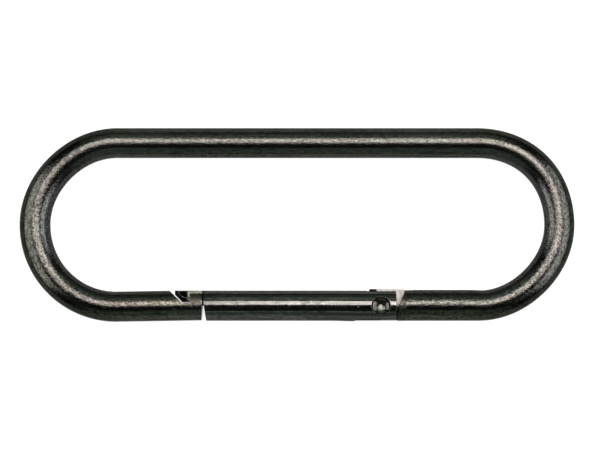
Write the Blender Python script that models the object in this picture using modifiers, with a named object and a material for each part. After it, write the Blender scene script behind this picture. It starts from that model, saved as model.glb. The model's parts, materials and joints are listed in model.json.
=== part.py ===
"""Long parallel-sided spring hook: one bent round bar closed by a sprung gate.

The hook lies flat. +X runs along it towards the hinge, +Y across it towards the
long plain side, +Z up out of the plane of the link. The origin is on the resting
plane, under the middle of the link. All sizes are in metres.
"""

from math import asin, cos, pi, radians, sin, sqrt

import bmesh
import bpy
from mathutils import Matrix, Vector

# ---- driving dimensions ----
BAR_DIAMETER = 0.0080
OVERALL_LENGTH = 0.1500
OVERALL_WIDTH = 0.0522
HINGE_X = 0.0227  # hinge axis, from the middle of the link
HINGE_INSET = 0.00026  # hinge axis, from the gate's own axis towards the inside
RUNNING_GAP = 0.0003  # between pieces that meet face to face
CLEAR = BAR_DIAMETER  # how far cutters reach past the bar

# ---- the bar and its path ----
BAR_RADIUS = BAR_DIAMETER / 2
BAR_SIDES = 32
BEND_STEPS = 32
BEND_RADIUS = OVERALL_WIDTH / 2 - BAR_RADIUS  # of the bar's centre line
BEND_X = OVERALL_LENGTH / 2 - OVERALL_WIDTH / 2
AXIS_Z = BAR_RADIUS
GATE_SIDE_Y = -BEND_RADIUS
# The flats of the faceted bar, not its corners, lie on the true circle.
CORNER_RADIUS = BAR_RADIUS / cos(pi / BAR_SIDES)

# ---- nose: the hooked end of the link, heights from the bar's axis ----
NOSE_X = -0.02560
NOTCH_TOP_X = -0.03442  # where the 45 degree wall meets the bar's surface
NOTCH_FLOOR = 0.00075
POST_X = -0.02875  # face of the post that the gate's head pulls on
POST_TOP = 0.00319
POST_SLOT_WIDTH = 0.0026
POST_SLOT_FLOOR = -RUNNING_GAP
CUT_OVERLAP = 0.0005  # where one cutter runs into another

# ---- tang: the flattened end of the link, inside the gate's fork ----
TANG_THICKNESS = 0.0022
TANG_END_X = 0.01930
TANG_TOP = 0.00445
TANG_TOP_AT_ROOT = 0.00433
TANG_BOTTOM = 0.00394
TANG_CORNER = (0.00030, 0.00050)  # taken off its upper corner, along X and Y
SHOULDER_TOP_X = 0.02905
SHOULDER_X = 0.02755
SHOULDER_FOOT = (0.02694, -0.0034)  # the lower half comes back towards the gate
TANG_ROOT_LENGTH = 0.0020  # how far the tang runs into the bar, and its half width there
TANG_ROOT_HALF = BAR_RADIUS * 0.82
TANG_ROOT_STEP = (0.0004, 0.0003)
TANG_ROOT_FOOT = 0.0009

# ---- gate ----
GATE_NOSE_X = -0.02510
GATE_UNDERCUT = 0.00058  # the end face leans back this far at the outer side
GATE_END_X = 0.02664
TONGUE_X = -0.03300  # tip of the thin tongue that lies in the link's slot
TONGUE_THICKNESS = 0.0020
TONGUE_WALL_GAP = 0.00035
WEB_X = POST_X + TONGUE_WALL_GAP  # from here on the tongue reaches down into the post's slot
EAR_X = -0.02954  # the ears on the tongue end here and pull on the post
EAR_CURVE = 0.0028
EAR_CENTRE = (-0.02940, 0.0046)
FORK_SLOT_WIDTH = 0.0028
SAW_RADIUS = 0.0120  # the fork is cut from the outer side by a disc of this size
SAW_X = 0.0276
SAW_DEPTH = 0.00416  # centre of the disc, below the gate's axis
BORE_DIAMETER = 0.0036
BORE_END_X = 0.0010
BORE_SIDES = 24

# ---- rivet ----
RIVET_DIAMETER = 0.0030
RIVET_HOLE_GAP = 0.0001
SINK_RADIUS = 0.00256  # of the recess for the rivet's head, at the gate's crest
SINK_TAPER = 0.20  # radius lost for each unit of depth
SINK_DEPTH = 0.0012
HEAD_TAPER = 1.3  # the same, under the rivet's head
HEAD_GAP = 0.00006
HEAD_PROUD = 0.00012  # of the recess's foot
HEAD_LIP = 0.00008
DISH_RADIUS = 0.0040  # the hollow that the closing punch leaves in each head
DISH_STEPS = 6

# ---- spring and plunger ----
PLUNGER_DIAMETER = 0.0033
PLUNGER_HEAD_LENGTH = 0.0052
PLUNGER_STEM_DIAMETER = 0.0020
PLUNGER_STEM_LENGTH = 0.0040
PLUNGER_CHAMFER = 0.00030
PLUNGER_SIDES = 24
SPRING_WIRE = 0.00050
SPRING_OUTSIDE = 0.0033
SPRING_TURNS = 9
SPRING_STEPS = 14  # points in one turn
CLOSED_PITCH = SPRING_WIRE * 1.15  # of the end turns

FINISHES = {
    "black_steel": ((0.065, 0.067, 0.064, 1.0), 0.24),
    "rivet_steel": ((0.110, 0.112, 0.110, 1.0), 0.32),
    "bright_steel": ((0.520, 0.510, 0.490, 1.0), 0.30),
}


# ---- helpers ----
def clear_scene():
    for obj in list(bpy.data.objects):
        bpy.data.objects.remove(obj, do_unlink=True)


def new_collection(name):
    collection = bpy.data.collections.new(name)
    bpy.context.scene.collection.children.link(collection)
    return collection


def finish(name):
    """A metal surface of that name, made once."""
    found = bpy.data.materials.get(name)
    if found:
        return found
    colour, roughness = FINISHES[name]
    material = bpy.data.materials.new(name)
    material.use_nodes = True
    shader = material.node_tree.nodes["Principled BSDF"]
    shader.inputs["Base Color"].default_value = colour
    shader.inputs["Roughness"].default_value = roughness
    shader.inputs["Metallic"].default_value = 1.0
    return material


def mesh_from_curve(obj, collection):
    """The curve as a closed mesh object with the same name and place."""
    bpy.context.view_layer.update()
    graph = bpy.context.evaluated_depsgraph_get()
    mesh = bpy.data.meshes.new_from_object(obj.evaluated_get(graph))
    shape = bmesh.new()
    shape.from_mesh(mesh)
    bmesh.ops.remove_doubles(shape, verts=shape.verts, dist=1e-7)
    shape.to_mesh(mesh)
    shape.free()
    made = bpy.data.objects.new("closed_" + obj.name, mesh)
    made.matrix_world = obj.matrix_world.copy()
    collection.objects.link(made)
    name = obj.name
    bpy.data.objects.remove(obj, do_unlink=True)
    made.name = name
    return made


def poly_curve(name, points, collection, closed=False):
    curve = bpy.data.curves.new(name, "CURVE")
    spline = curve.splines.new("POLY")
    spline.points.add(len(points) - 1)
    for place, point in zip(spline.points, points):
        place.co = (*point, 1.0)
    spline.use_cyclic_u = closed
    obj = bpy.data.objects.new(name, curve)
    collection.objects.link(obj)
    return obj


def wire(name, points, radius, resolution, collection, tilt=0.0):
    """A round wire along the points. Its section has 2 * resolution + 4 sides."""
    obj = poly_curve(name, points, collection)
    obj.data.dimensions = "3D"
    obj.data.twist_mode = "Z_UP"
    obj.data.bevel_depth = radius
    obj.data.bevel_resolution = resolution
    obj.data.use_fill_caps = True
    for place in obj.data.splines[0].points:
        place.tilt = tilt
    return obj


def plate(name, outline, thickness, collection):
    """A flat plate of that outline, centred on the height of the bar's axis."""
    points = [(x, y, 0.0) for x, y in outline]
    obj = poly_curve(name, points, collection, closed=True)
    obj.data.dimensions = "2D"
    obj.data.fill_mode = "BOTH"
    obj.data.extrude = thickness / 2
    obj.location.z = AXIS_Z
    return mesh_from_curve(obj, collection)


def turned(name, profile, steps, collection):
    """A turned shape about Z. The profile is (radius, height), from the top down."""
    mesh = bpy.data.meshes.new(name)
    points = [(radius, 0.0, height) for radius, height in profile]
    edges = [(i, i + 1) for i in range(len(points) - 1)]
    mesh.from_pydata(points, edges, [])
    obj = bpy.data.objects.new(name, mesh)
    collection.objects.link(obj)
    screw = obj.modifiers.new("turn", "SCREW")
    screw.axis = "Z"
    screw.steps = steps
    screw.render_steps = steps
    screw.use_merge_vertices = True
    screw.merge_threshold = 1e-6
    screw.use_smooth_shade = True
    return obj


def rod(name, start_x, end_x, y, radius, sides, collection):
    """A cylinder along X with flats, not corners, at its top and bottom."""
    mesh = bpy.data.meshes.new(name)
    shape = bmesh.new()
    bmesh.ops.create_cone(
        shape,
        cap_ends=True,
        segments=sides,
        radius1=radius,
        radius2=radius,
        depth=end_x - start_x,
        matrix=Matrix.Rotation(pi / 2, 4, "Y") @ Matrix.Rotation(pi / sides, 4, "Z"),
    )
    shape.to_mesh(mesh)
    shape.free()
    obj = bpy.data.objects.new(name, mesh)
    obj.location = ((start_x + end_x) / 2, y, AXIS_Z)
    collection.objects.link(obj)
    return obj


def join(target, other, operation):
    other.hide_render = True
    other.display_type = "WIRE"
    step = target.modifiers.new(other.name, "BOOLEAN")
    step.operation = operation
    step.solver = "EXACT"
    step.object = other


def cut(target, *cutters):
    for cutter in cutters:
        join(target, cutter, "DIFFERENCE")


def shade_round(obj, material):
    """Smooth shading with sharp corners, and the piece's finish."""
    if obj.type == "MESH":
        obj.data.shade_smooth()
        obj.data.set_sharp_from_angle(angle=radians(30))
    obj.data.materials.clear()
    obj.data.materials.append(finish(material))


def hang_on(obj, empty):
    """Parents a piece to its joint's empty and moves its origin onto the axis."""
    bpy.context.view_layer.update()
    shift = empty.matrix_world.inverted() @ obj.matrix_world
    if obj.type == "MESH" and not obj.modifiers.get("turn"):
        obj.data.transform(shift)
        shift = Matrix.Identity(4)
    obj.parent = empty
    obj.matrix_parent_inverse = Matrix.Identity(4)
    obj.matrix_basis = shift


def joint_empty(name, place, collection, parent=None):
    empty = bpy.data.objects.new(name, None)
    empty.empty_display_size = BAR_DIAMETER
    collection.objects.link(empty)
    empty.parent = parent
    empty.location = Vector(place) - (parent.location if parent else Vector())
    return empty


def arc(centre, radius, start, end, steps):
    """Points along a circle, from one angle to another, both included."""
    angles = [start + (end - start) * i / steps for i in range(steps + 1)]
    return [(centre[0] + radius * cos(a), centre[1] + radius * sin(a)) for a in angles]


def along_gate_side(outline):
    """An outline given from the bar's axis, moved to the gate's side of the link."""
    return [(x, y + GATE_SIDE_Y) for x, y in outline]


# ---- the link ----
def bar_path():
    """Centre line: from the nose, round both bends, back to the shoulder."""
    points = [(NOSE_X, GATE_SIDE_Y)]
    points += arc((-BEND_X, 0.0), BEND_RADIUS, -pi / 2, -3 * pi / 2, BEND_STEPS)
    points += arc((BEND_X, 0.0), BEND_RADIUS, pi / 2, -pi / 2, BEND_STEPS)
    points.append((SHOULDER_FOOT[0], GATE_SIDE_Y))
    return [(x, y, AXIS_Z) for x, y in points]


def tang_outline():
    """The flattened end, rounded about the hinge so that it turns in the fork."""
    hinge = (HINGE_X, HINGE_INSET)
    radius = TANG_BOTTOM + HINGE_INSET
    end_angle = pi + asin(sqrt(1 - ((HINGE_X - TANG_END_X) / radius) ** 2))
    root_x = SHOULDER_TOP_X + TANG_ROOT_LENGTH
    outline = [
        (root_x, TANG_ROOT_HALF),
        (SHOULDER_TOP_X + TANG_ROOT_STEP[0], BAR_RADIUS - TANG_ROOT_STEP[1]),
        (SHOULDER_TOP_X, TANG_TOP_AT_ROOT),
        (TANG_END_X + TANG_CORNER[0], TANG_TOP),
        (TANG_END_X, TANG_TOP - TANG_CORNER[1]),
    ]
    outline += arc(hinge, radius, end_angle, 3 * pi / 2, 8)
    outline += [
        (SHOULDER_X, -TANG_BOTTOM),
        (SHOULDER_X + TANG_ROOT_FOOT, -TANG_ROOT_HALF),
        (root_x, -TANG_ROOT_HALF),
    ]
    return outline


def make_link(parts, cutters):
    half_side = pi / BAR_SIDES
    link = wire("link_body", bar_path(), CORNER_RADIUS, BAR_SIDES // 2 - 2, cutters, half_side)
    link = mesh_from_curve(link, parts)
    low, high = -CLEAR, CLEAR

    shoulder = [
        (SHOULDER_X - BAR_RADIUS, high),
        (SHOULDER_X - BAR_RADIUS, low),
        (SHOULDER_FOOT[0], low),
        SHOULDER_FOOT,
        (SHOULDER_X, 0.0),
        (SHOULDER_TOP_X, BAR_RADIUS),
        (SHOULDER_TOP_X + (SHOULDER_TOP_X - SHOULDER_X), high),
    ]
    notch = [
        (NOTCH_TOP_X - (high - BAR_RADIUS), high),
        (NOTCH_TOP_X + BAR_RADIUS - NOTCH_FLOOR, NOTCH_FLOOR),
        (POST_X, NOTCH_FLOOR),
        (POST_X, POST_TOP),
        (NOSE_X + CLEAR, POST_TOP),
        (NOSE_X + CLEAR, high),
    ]
    post_slot = [
        (POST_X - CUT_OVERLAP, NOTCH_FLOOR),
        (POST_X, NOTCH_FLOOR),
        (POST_X, POST_SLOT_FLOOR),
        (NOSE_X + CUT_OVERLAP, POST_SLOT_FLOOR),
        (NOSE_X + CUT_OVERLAP, high),
        (POST_X - CUT_OVERLAP, high),
    ]
    through = 2 * BAR_DIAMETER
    cut(link, plate("shoulder_cutter", along_gate_side(shoulder), through, cutters))
    tang = plate("tang_blank", along_gate_side(tang_outline()), TANG_THICKNESS, cutters)
    join(link, tang, "UNION")
    hole_radius = RIVET_DIAMETER / 2 + RIVET_HOLE_GAP
    hole = turned(
        "tang_hole_cutter",
        [(0.0, high), (hole_radius, high), (hole_radius, low), (0.0, low)],
        BAR_SIDES,
        cutters,
    )
    hole.location = hinge_place()
    cut(
        link,
        hole,
        plate("notch_cutter", along_gate_side(notch), through, cutters),
        plate("post_slot_cutter", along_gate_side(post_slot), POST_SLOT_WIDTH, cutters),
    )
    shade_round(link, "black_steel")
    return link


# ---- the gate ----
def hinge_place():
    return Vector((HINGE_X, GATE_SIDE_Y + HINGE_INSET, AXIS_Z))


def ear_curve():
    """Rounded lower left edge of the ears, from the bar's surface round to the post."""
    top = pi + asin((EAR_CENTRE[1] - BAR_RADIUS - CUT_OVERLAP) / EAR_CURVE)
    foot = 3 * pi / 2 - asin((EAR_CENTRE[0] - EAR_X) / EAR_CURVE)
    return arc(EAR_CENTRE, EAR_CURVE, top, foot, 10)


def tongue_cut():
    """Everything left of the gate's end face that isn't tongue."""
    wall_sum = NOTCH_TOP_X + BAR_RADIUS  # x + y is constant along the 45 degree wall
    clear_sum = wall_sum + TONGUE_WALL_GAP * sqrt(2)
    bottom = NOTCH_FLOOR + RUNNING_GAP
    slant = GATE_UNDERCUT / BAR_RADIUS
    return [
        (TONGUE_X, CLEAR),
        (TONGUE_X, clear_sum - TONGUE_X),
        (clear_sum - bottom, bottom),
        (WEB_X, bottom),
        (WEB_X, 0.0),
        (GATE_NOSE_X, 0.0),
        (GATE_NOSE_X + slant * CLEAR, -CLEAR),
        (TONGUE_X - CLEAR, -CLEAR),
        (TONGUE_X - CLEAR, CLEAR),
    ]


def cheek_cut():
    """What is taken off both faces of the tongue: all but the ears."""
    outline = [(GATE_NOSE_X, CLEAR), (EAR_X, CLEAR)]
    outline += reversed(ear_curve())
    outline += [(TONGUE_X - CLEAR, CLEAR / 2), (TONGUE_X - CLEAR, -CLEAR)]
    outline += [(GATE_NOSE_X, -CLEAR)]
    return outline


def rivet_hole(hole_radius):
    """Profile of the hinge hole with a recess for the rivet's head at each end."""
    over = BAR_RADIUS / 4
    rim = SINK_RADIUS + over * SINK_TAPER
    foot = SINK_RADIUS - SINK_DEPTH * SINK_TAPER
    neck_height = BAR_RADIUS - SINK_DEPTH - (foot - hole_radius) / HEAD_TAPER
    upper = [
        (0.0, BAR_RADIUS + over),
        (rim, BAR_RADIUS + over),
        (foot, BAR_RADIUS - SINK_DEPTH),
        (hole_radius, neck_height),
    ]
    return upper + [(radius, -height) for radius, height in reversed(upper)]


def make_gate(parts, cutters):
    gate = rod("gate", TONGUE_X, GATE_END_X, GATE_SIDE_Y, CORNER_RADIUS, BAR_SIDES, parts)
    through = 2 * BAR_DIAMETER
    cut(gate, plate("tongue_cutter", along_gate_side(tongue_cut()), through, cutters))
    cheek = along_gate_side(cheek_cut())
    for side, name in ((1, "upper_cheek_cutter"), (-1, "lower_cheek_cutter")):
        cutter = plate(name, cheek, BAR_DIAMETER, cutters)
        cutter.location.z += side * (TONGUE_THICKNESS + BAR_DIAMETER) / 2
        cut(gate, cutter)

    saw = arc((SAW_X, -SAW_DEPTH), SAW_RADIUS, 0.0, 2 * pi, 96)[:-1]
    bore_end = GATE_END_X + RUNNING_GAP
    bore_radius = BORE_DIAMETER / 2
    bore = rod("bore_cutter", BORE_END_X, bore_end, GATE_SIDE_Y, bore_radius, BORE_SIDES, cutters)
    hole = turned(
        "rivet_hole_cutter",
        rivet_hole(RIVET_DIAMETER / 2 + HEAD_GAP),
        BAR_SIDES,
        cutters,
    )
    hole.location = hinge_place()
    cut(gate, plate("saw_cutter", along_gate_side(saw), FORK_SLOT_WIDTH, cutters), bore, hole)
    shade_round(gate, "black_steel")
    return gate


# ---- rivet, plunger and spring ----
def make_rivet(parts):
    """A pin whose two ends are spread into the recesses and hollowed by the punch."""
    shank = RIVET_DIAMETER / 2
    rim_height = BAR_RADIUS - SINK_DEPTH + HEAD_PROUD
    rim = SINK_RADIUS - SINK_DEPTH * SINK_TAPER - HEAD_GAP
    edge = rim - HEAD_LIP
    dish_height = rim_height + sqrt(DISH_RADIUS**2 - edge**2)
    radii = [edge * i / DISH_STEPS for i in range(DISH_STEPS + 1)]
    upper = [(r, dish_height - sqrt(DISH_RADIUS**2 - r**2)) for r in radii]
    upper += [
        (rim, rim_height - HEAD_LIP),
        (shank, rim_height - HEAD_LIP - (rim - shank) / HEAD_TAPER),
    ]
    lower = [(radius, -height) for radius, height in reversed(upper)]
    rivet = turned("hinge_rivet", upper + lower, BAR_SIDES, parts)
    rivet.location = hinge_place()
    shade_round(rivet, "rivet_steel")
    return rivet


def plunger_tip_x():
    return TANG_END_X - RUNNING_GAP


def make_plunger(parts):
    """A pin with a thick head that bears on the tang, and a stem in the spring."""
    head = PLUNGER_DIAMETER / 2
    stem = PLUNGER_STEM_DIAMETER / 2
    chamfer = PLUNGER_CHAMFER
    length = PLUNGER_HEAD_LENGTH + PLUNGER_STEM_LENGTH
    profile = [
        (0.0, 0.0),
        (head - chamfer, 0.0),
        (head, -chamfer),
        (head, -PLUNGER_HEAD_LENGTH),
        (stem, -PLUNGER_HEAD_LENGTH),
        (stem, chamfer - length),
        (stem - chamfer, -length),
        (0.0, -length),
    ]
    plunger = turned("spring_plunger", profile, PLUNGER_SIDES, parts)
    plunger.location = (plunger_tip_x(), GATE_SIDE_Y, AXIS_Z)
    plunger.rotation_euler.y = pi / 2
    shade_round(plunger, "bright_steel")
    return plunger


def make_spring(parts):
    """A compression spring with one closed turn at each end."""
    start = BORE_END_X + SPRING_WIRE / 2 + RUNNING_GAP
    end = plunger_tip_x() - PLUNGER_HEAD_LENGTH - SPRING_WIRE / 2 - RUNNING_GAP
    radius = (SPRING_OUTSIDE - SPRING_WIRE) / 2
    open_pitch = (end - start - 2 * CLOSED_PITCH) / (SPRING_TURNS - 2)
    points = []
    for i in range(SPRING_TURNS * SPRING_STEPS + 1):
        turn = i / SPRING_STEPS
        closed = min(turn, 1.0) + max(turn - SPRING_TURNS + 1, 0.0)
        x = start + closed * CLOSED_PITCH + (turn - closed) * open_pitch
        angle = 2 * pi * turn
        y = GATE_SIDE_Y + radius * cos(angle)
        points.append((x, y, AXIS_Z + radius * sin(angle)))
    spring = wire("closing_spring", points, SPRING_WIRE / 2, 2, parts)
    spring.data.twist_mode = "MINIMUM"
    spring.data.materials.append(finish("bright_steel"))
    return spring


def main():
    clear_scene()
    parts = new_collection("spring_hook")
    cutters = new_collection("cutters")
    make_link(parts, cutters)
    gate = make_gate(parts, cutters)
    rivet = make_rivet(parts)
    spring = make_spring(parts)
    plunger = make_plunger(parts)

    gate_hinge = joint_empty("gate_hinge", hinge_place(), parts)
    slide_place = (plunger_tip_x(), GATE_SIDE_Y, AXIS_Z)
    plunger_slide = joint_empty("plunger_slide", slide_place, parts, gate_hinge)
    for piece in (gate, rivet, spring):
        hang_on(piece, gate_hinge)
    hang_on(plunger, plunger_slide)


main()
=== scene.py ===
# Looks of the long oval snap hook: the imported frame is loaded, its faceted solids are replaced by smooth
# pieces of the same size, and every piece gets a blackened or bare steel made of nodes.
# Lengths are in metres; shapes on the gate's side are drawn as (x, height above the bar's axis).
import json
import math
import bmesh
import bpy
import numpy as np
from mathutils import Matrix, Vector


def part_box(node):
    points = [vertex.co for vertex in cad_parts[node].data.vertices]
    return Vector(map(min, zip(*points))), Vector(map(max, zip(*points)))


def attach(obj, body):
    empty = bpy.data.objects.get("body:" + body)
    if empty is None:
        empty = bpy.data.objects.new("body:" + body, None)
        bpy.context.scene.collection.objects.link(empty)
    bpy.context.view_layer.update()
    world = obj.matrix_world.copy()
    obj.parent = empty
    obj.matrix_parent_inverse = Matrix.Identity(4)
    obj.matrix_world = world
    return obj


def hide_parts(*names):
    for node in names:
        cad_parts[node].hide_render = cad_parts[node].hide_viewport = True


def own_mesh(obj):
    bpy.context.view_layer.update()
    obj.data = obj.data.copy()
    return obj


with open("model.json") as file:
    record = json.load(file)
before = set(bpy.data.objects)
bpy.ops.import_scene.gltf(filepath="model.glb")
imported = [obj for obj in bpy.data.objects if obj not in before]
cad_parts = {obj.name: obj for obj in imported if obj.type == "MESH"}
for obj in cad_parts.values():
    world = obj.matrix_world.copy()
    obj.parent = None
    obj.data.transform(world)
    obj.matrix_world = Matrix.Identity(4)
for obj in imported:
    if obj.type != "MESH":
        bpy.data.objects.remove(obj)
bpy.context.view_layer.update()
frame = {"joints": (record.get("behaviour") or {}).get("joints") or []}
mm = 0.001

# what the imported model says
linkLow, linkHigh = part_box("link_body")
gateLow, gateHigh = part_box("gate")
springLow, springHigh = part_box("closing_spring")
plungerLow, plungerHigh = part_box("spring_plunger")
hinge = Vector(next(j for j in frame["joints"] if j["name"] == "gate_hinge")["pos_m"])
barRadius = (linkHigh.z - linkLow.z) / 2
axisZ = (linkHigh.z + linkLow.z) / 2
bendRadius = (linkHigh.y - linkLow.y) / 2 - barRadius
bendX = linkHigh.x - barRadius - bendRadius
gateY = -bendRadius
rolledOver = 1.025  # the rolled bar is a little over its nominal size
fullRadius = barRadius * rolledOver
print("frame loaded: bar", round(2 * barRadius / mm, 3), "mm, bends at", round(bendX / mm, 3), "mm")


def meshFromGrid(name, points):
    # points is stations x points x 3: neighbours are joined by quads, and the first and last rings are
    # closed by one flat face each
    stations, around = points.shape[:2]
    index = np.arange(stations * around).reshape(stations, around)
    nextRing = np.roll(index, -1, axis=1)
    quads = np.stack([index[:-1], index[1:], nextRing[1:], nextRing[:-1]], axis=-1).reshape(-1, 4)
    faces = quads.tolist() + [index[0].tolist(), index[-1][::-1].tolist()]
    mesh = bpy.data.meshes.new(name)
    mesh.from_pydata(points.reshape(-1, 3).tolist(), [], faces)
    tidyMesh(mesh)
    obj = bpy.data.objects.new(name, mesh)
    bpy.context.scene.collection.objects.link(obj)
    return obj


def tidyMesh(mesh):
    # one skin with no double points, facing outwards
    shape = bmesh.new()
    shape.from_mesh(mesh)
    bmesh.ops.remove_doubles(shape, verts=shape.verts, dist=1e-7)
    bmesh.ops.dissolve_degenerate(shape, edges=shape.edges, dist=1e-8)
    bmesh.ops.recalc_face_normals(shape, faces=shape.faces)
    shape.to_mesh(mesh)
    shape.free()


def ringAlong(centre, side, up, radius, angles):
    # a circle about each centre: centre + radius * (cos a * side + sin a * up)
    sideways = np.cos(angles)[None, :, None] * side[:, None, :]
    upwards = np.sin(angles)[None, :, None] * up[:, None, :]
    return centre[:, None, :] + radius[:, None, None] * (sideways + upwards)


def ringAngles(sides, cuts=()):
    # even steps round a circle, with a line of points wherever a flat cut will leave the surface;
    # each cut is an angle from the ring's side direction, and is repeated in all four quarters
    step = 2 * np.pi / sides
    even = step * (np.arange(sides) + 0.5)
    keys = np.array([k for c in cuts for k in (c, np.pi - c, np.pi + c, 2 * np.pi - c)])
    if len(keys) == 0:
        return even
    away = np.abs(even[:, None] - keys[None, :]).min(axis=1)
    keep = away > 0.55 * step
    return np.sort(np.concatenate([even[keep], keys]))


def roundTube(name, centre, side, radius, angles, up=(0.0, 0.0, 1.0)):
    # a tube of that radius along the centres, its rings standing on the side and up directions
    ups = np.broadcast_to(np.array(up, float), side.shape)
    return meshFromGrid(name, ringAlong(centre, side, ups, radius, angles))


def turnedSurface(name, profile, place, sides):
    # a profile of (radius, height) carried once round the vertical axis through place
    profile = np.array(profile, float)
    angles = 2 * np.pi * np.arange(sides) / sides
    x = profile[:, None, 0] * np.cos(angles)[None, :]
    y = profile[:, None, 0] * np.sin(angles)[None, :]
    z = np.broadcast_to(profile[:, None, 1], x.shape)
    return meshFromGrid(name, np.stack([x, y, z], axis=-1) + np.array(place)[None, None, :])


def offset(obj, shift, height):
    # everything further than that height from the bar's axis moves sideways
    for vertex in obj.data.vertices:
        if abs(vertex.co.z - axisZ) > height:
            vertex.co += shift


def slab(name, outline, low, high):
    # a flat plate: the outline (x, y) between two heights
    outline = np.array(outline, float)
    heights = np.array([low, high])
    ring = np.empty((2, len(outline), 3))
    ring[:, :, :2] = outline[None, :, :]
    ring[:, :, 2] = heights[:, None]
    return meshFromGrid(name, ring)


def arcPoints(centre, radius, start, end, steps):
    # points on a circle from one angle to another, both included
    angles = np.linspace(start, end, steps + 1)
    return np.stack([centre[0] + radius * np.cos(angles), centre[1] + radius * np.sin(angles)], axis=1)


def combine(target, tools, operation="DIFFERENCE"):
    # the tools are cut from or added to the target for good, and then removed
    for tool in tools:
        step = target.modifiers.new(tool.name, "BOOLEAN")
        step.operation = operation
        step.solver = "EXACT"
        step.object = tool
    bakeModifiers(target)
    for tool in tools:
        bpy.data.objects.remove(tool, do_unlink=True)


def bakeModifiers(obj):
    bpy.context.view_layer.update()
    graph = bpy.context.evaluated_depsgraph_get()
    baked = bpy.data.meshes.new_from_object(obj.evaluated_get(graph))
    old = obj.data
    obj.modifiers.clear()
    obj.data = baked
    bpy.data.meshes.remove(old)


def softenEdges(obj, width, segments=3, angle=28):
    # every sharp edge is rounded to that width, or less where the faces beside it are too small for it;
    # then the shading is weighted so that the big faces stay true
    shape = bmesh.new()
    shape.from_mesh(obj.data)
    bmesh.ops.remove_doubles(shape, verts=shape.verts, dist=8e-6)
    bmesh.ops.dissolve_degenerate(shape, edges=shape.edges, dist=2e-6)
    weights = shape.edges.layers.float.new("bevel_weight_edge")
    share = 0.3  # of the shortest edge beside it, which the rounding may use up
    sharp = {e for e in shape.edges if e.is_manifold and e.calc_face_angle() > math.radians(angle)}
    room = {}
    for edge in sharp:
        beside = [e.calc_length() for v in edge.verts for e in v.link_edges if e not in sharp]
        room[edge] = min(beside + [width / share]) * share / width
    for edge in sharp:
        chain = [room[e] for v in edge.verts for e in v.link_edges if e in sharp]
        edge[weights] = max(min(chain), 0.02)
    shape.to_mesh(obj.data)
    shape.free()
    bevel = obj.modifiers.new("round_edges", "BEVEL")
    bevel.width = width
    bevel.segments = segments
    bevel.limit_method = "WEIGHT"
    bevel.miter_outer = "MITER_ARC"
    bevel.use_clamp_overlap = False
    bakeModifiers(obj)
    obj.data.shade_smooth()
    obj.data.set_sharp_from_angle(angle=math.radians(50))
    weighted = obj.modifiers.new("true_faces", "WEIGHTED_NORMAL")
    weighted.keep_sharp = True
    weighted.weight = 80
    bakeModifiers(obj)


link = {
    "sides": 96,
    "bendSteps": 96,
    "straightSteps": 60,
    "tailSteps": 14,
    "openSteps": 12,
    "noseX": -25.52 * mm,
    "noseSlant": 0.27 * mm,  # how far the end face runs back from the axis to the underside
    "notchTopX": -34.42 * mm,  # where the 45 degree wall leaves the bar's surface
    "notchFloor": 0.75 * mm,
    "postX": -28.75 * mm,
    "postTop": 3.19 * mm,
    "slotWidth": 2.6 * mm,
    "tangHalf": 1.1 * mm,
    "tangTop": 4.45 * mm,
    "tangTopAtRoot": 4.33 * mm,
    "tangBottom": 3.94 * mm,
    "tangEndX": 19.30 * mm,
    "tangTip": (0.3 * mm, 0.5 * mm),  # the cut corner at its tip
    "rootLength": 2.0 * mm,
    "rootHalf": 3.28 * mm,
    "rootStep": (0.4 * mm, 0.3 * mm),
    "rootRun": 0.9 * mm,
    "shoulderTopX": 29.05 * mm,
    "shoulderX": 27.55 * mm,
    "shoulderFoot": (gateHigh.x + 0.25 * mm, -3.4 * mm),
    "hole": 1.6 * mm,
    "grooveFloor": -0.3 * mm,
    "grooveStart": 0.5 * mm,  # how far the groove's cut reaches into the open notch
    "edge": 0.07 * mm,
    "swell": (27.0 * mm, 52.0 * mm),  # the bar is a little thicker behind the hinge
    "swellEnds": (3.0 * mm, 6.0 * mm),
    "swellBy": 0.1 * mm,
    "lean": (0.27 * mm, -0.12 * mm),  # how far the open end stands out at the bend and at its tip
    "rightOval": 0.40 * mm,
    "leftOval": -0.35 * mm,
    "leftSwell": 0.1 * mm,
}


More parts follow.
